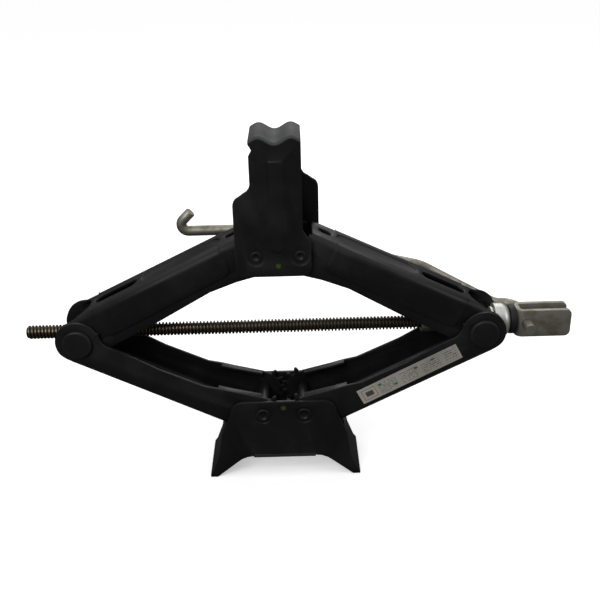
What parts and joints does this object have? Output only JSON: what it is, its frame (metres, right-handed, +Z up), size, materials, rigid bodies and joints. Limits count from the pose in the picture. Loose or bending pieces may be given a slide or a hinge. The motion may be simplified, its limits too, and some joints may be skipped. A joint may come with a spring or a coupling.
{
  "type": "scissor jack",
  "caption": "Screw-driven scissor jack with geared channel arms, a splayed foot, a two-crested saddle, a thrust bearing, a drive fork and a folding crank handle.",
  "frame": {"origin": "on the ground, midway between the foot's two pins and midway between its front and back plates", "axes": "+X along the screw towards the drive fork, +Y towards the side that the handle is stowed on, +Z up"},
  "size_m": [0.4745, 0.0689, 0.3146],
  "materials": {
    "black_paint": "satin black dip paint",
    "oiled_steel": "oiled rolled thread",
    "zinc": "dull zinc plate",
    "bright_zinc": "bright zinc plate",
    "label_film": "silver grey film"
  },
  "bodies": {
    "foot": {"foot": "black_paint", "foot_pin_left": "black_paint", "foot_pin_right": "black_paint"},
    "lower_left": {"lower_arm_left": "black_paint"},
    "lower_right": {"lower_arm_right": "black_paint", "label": "label_film"},
    "upper_left": {"upper_arm_left": "black_paint"},
    "upper_right": {"upper_arm_right": "black_paint"},
    "saddle": {"saddle": "black_paint", "saddle_pin_left": "black_paint", "saddle_pin_right": "black_paint"},
    "nut_end": {"nut_trunnion": "black_paint"},
    "thrust_end": {"thrust_trunnion": "black_paint", "lower_race": "bright_zinc", "bearing_balls": "bright_zinc"},
    "screw": {"screw": "oiled_steel", "spacer_sleeve": "zinc", "upper_race": "bright_zinc", "bearing_cup": "bright_zinc", "thrust_collar": "black_paint", "drive_fork": "zinc"},
    "handle": {"handle_rod": "zinc"}
  },
  "joints": [
    {"name": "lift", "type": "hinge", "parent": "foot", "child": "lower_left", "pos_m": [-0.0182, 0, 0.0645], "axis": [0, 1, 0], "range_deg": [-17, 36]},
    {"name": "lower_right_turn", "type": "hinge", "parent": "foot", "child": "lower_right", "pos_m": [0.0182, 0, 0.0645], "axis": [0, -1, 0], "range_deg": [-17, 36]},
    {"name": "upper_left_turn", "type": "hinge", "parent": "lower_left", "child": "upper_left", "pos_m": [-0.1735, 0, 0.13958], "axis": [0, -1, 0], "range_deg": [-34, 72]},
    {"name": "upper_right_turn", "type": "hinge", "parent": "lower_right", "child": "upper_right", "pos_m": [0.1735, 0, 0.13958], "axis": [0, 1, 0], "range_deg": [-34, 72]},
    {"name": "saddle_level", "type": "hinge", "parent": "upper_left", "child": "saddle", "pos_m": [-0.0182, 0, 0.21465], "axis": [0, 1, 0], "range_deg": [-17, 36]},
    {"name": "nut_level", "type": "hinge", "parent": "lower_left", "child": "nut_end", "pos_m": [-0.1735, 0, 0.13958], "axis": [0, -1, 0], "range_deg": [-17, 36]},
    {"name": "thrust_level", "type": "hinge", "parent": "lower_right", "child": "thrust_end", "pos_m": [0.1735, 0, 0.13958], "axis": [0, 1, 0], "range_deg": [-17, 36]},
    {"name": "screw_turn", "type": "hinge", "parent": "thrust_end", "child": "screw", "pos_m": [0.1735, 0, 0.13958], "axis": [1, 0, 0], "range_deg": [-35, 0]},
    {"name": "handle_swing", "type": "hinge", "parent": "screw", "child": "handle", "pos_m": [0.21441, 0, 0.13958], "axis": [0, 1, 0], "range_deg": [0, 180]}
  ],
  "couplings": [
    {"joint": "lower_right_turn", "follows": "lift", "ratio": 1},
    {"joint": "upper_left_turn", "follows": "lift", "ratio": 2},
    {"joint": "upper_right_turn", "follows": "lift", "ratio": 2},
    {"joint": "saddle_level", "follows": "lift", "ratio": 1},
    {"joint": "nut_level", "follows": "lift", "ratio": 1},
    {"joint": "thrust_level", "follows": "lift", "ratio": 1}
  ]
}
